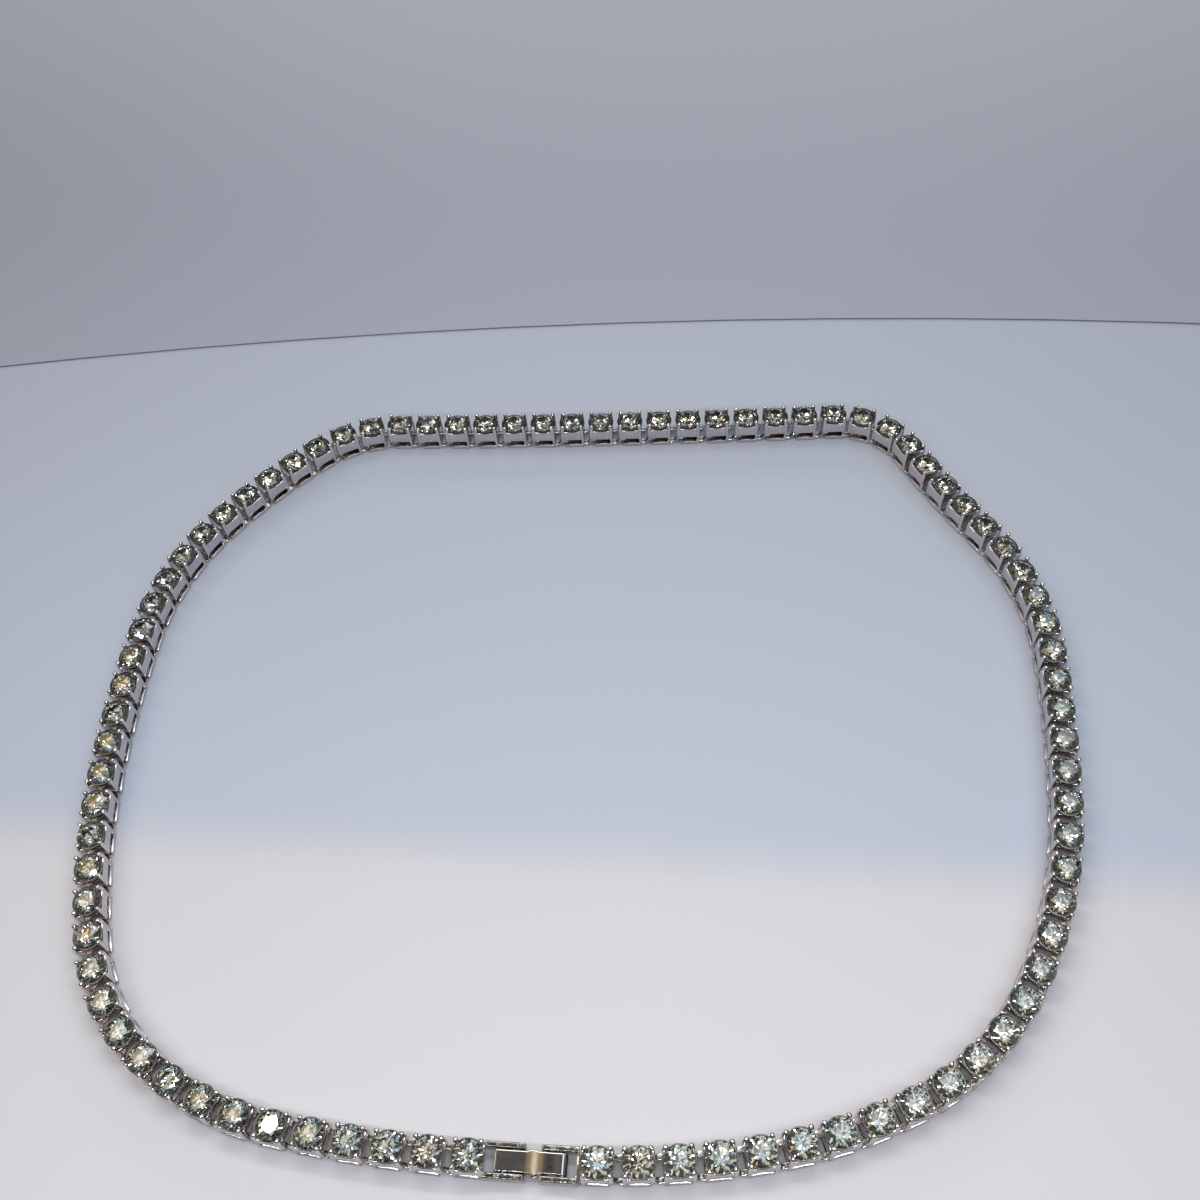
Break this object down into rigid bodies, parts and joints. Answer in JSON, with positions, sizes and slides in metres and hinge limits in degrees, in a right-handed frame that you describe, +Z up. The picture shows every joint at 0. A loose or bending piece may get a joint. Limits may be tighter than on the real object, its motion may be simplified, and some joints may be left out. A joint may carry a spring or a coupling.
{
  "type": "tennis necklace, closed and lying flat",
  "caption": "Closed loop of round stones in square four-prong settings, hinged one to the next and fastened by a fold-over clasp with a hinged cover.",
  "frame": {"origin": "middle of the loop's bounding box, on the surface that the necklace lies on", "axes": "+X to the right along the clasp, +Y from the clasp at the front towards the rear of the loop, +Z up, the way the stones face"},
  "size_m": [0.1446, 0.127, 0.0049],
  "materials": {
    "setting_metal": "polished plated metal, bright with small dark edges",
    "stone": "clear faceted stone, reads smoky grey over the closed cup",
    "clasp_metal": "polished plated metal",
    "leaf_metal": "highly polished, darker plated metal"
  },
  "bodies": {
    "necklace": {"chain_front_right_inner": "setting_metal", "chain_front_right_outer": "setting_metal", "chain_front_right_curve": "setting_metal", "chain_right_side_front": "setting_metal", "chain_right_side_back": "setting_metal", "chain_rear_right_curve": "setting_metal", "chain_rear_right_slope": "setting_metal", "chain_rear_right_corner": "setting_metal", "chain_rear_row_right": "setting_metal", "chain_rear_row_left": "setting_metal", "chain_rear_left_corner": "setting_metal", "chain_rear_left_slope": "setting_metal", "chain_rear_left_curve": "setting_metal", "chain_left_side_back": "setting_metal", "chain_left_side_front": "setting_metal", "chain_front_left_curve": "setting_metal", "chain_front_left_outer": "setting_metal", "chain_front_left_inner": "setting_metal", "clasp_end_left": "setting_metal", "clasp_frame_right": "clasp_metal", "clasp_base_leaf": "leaf_metal"},
    "cover": {"clasp_cover": "leaf_metal"}
  },
  "joints": [
    {"name": "cover_hinge", "type": "hinge", "parent": "necklace", "child": "cover", "pos_m": [0.00284, -0.06137, 0.0019], "axis": [0, 1, 0], "range_deg": [0, 110]}
  ]
}
